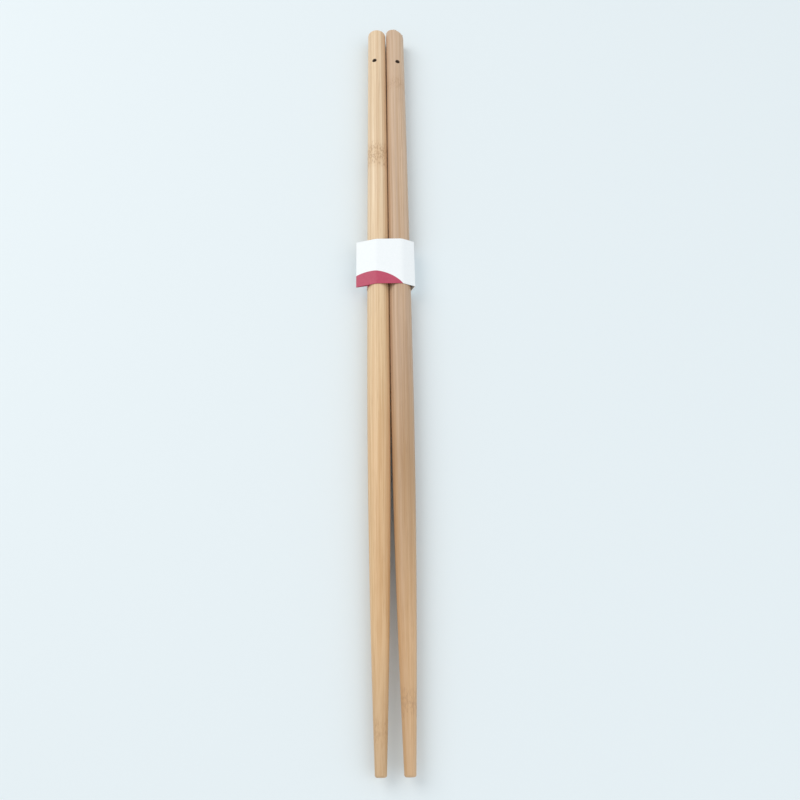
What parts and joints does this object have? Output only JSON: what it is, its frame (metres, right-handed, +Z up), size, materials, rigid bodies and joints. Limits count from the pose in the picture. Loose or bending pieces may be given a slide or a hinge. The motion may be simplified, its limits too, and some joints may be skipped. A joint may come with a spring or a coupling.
{
  "type": "bamboo chopsticks",
  "caption": "Pair of long round tapered bamboo cooking chopsticks with string holes near the handle ends, lying side by side in a loose paper band.",
  "frame": {"origin": "on the surface the pair lies on, under the middle of the whole object's box", "axes": "+Y along the sticks from the tips to the handle ends, +Z up, +X to the right stick with the tips nearest the viewer"},
  "size_m": [0.024, 0.3314, 0.0097],
  "materials": {
    "bamboo_left": "sanded and waxed, satin",
    "bamboo_right": "sanded and waxed, satin",
    "label_paper": "smooth coated paper"
  },
  "bodies": {
    "root": {"chopstick_left": "bamboo_left", "chopstick_right": "bamboo_right", "label_band": "label_paper"}
  },
  "joints": []
}
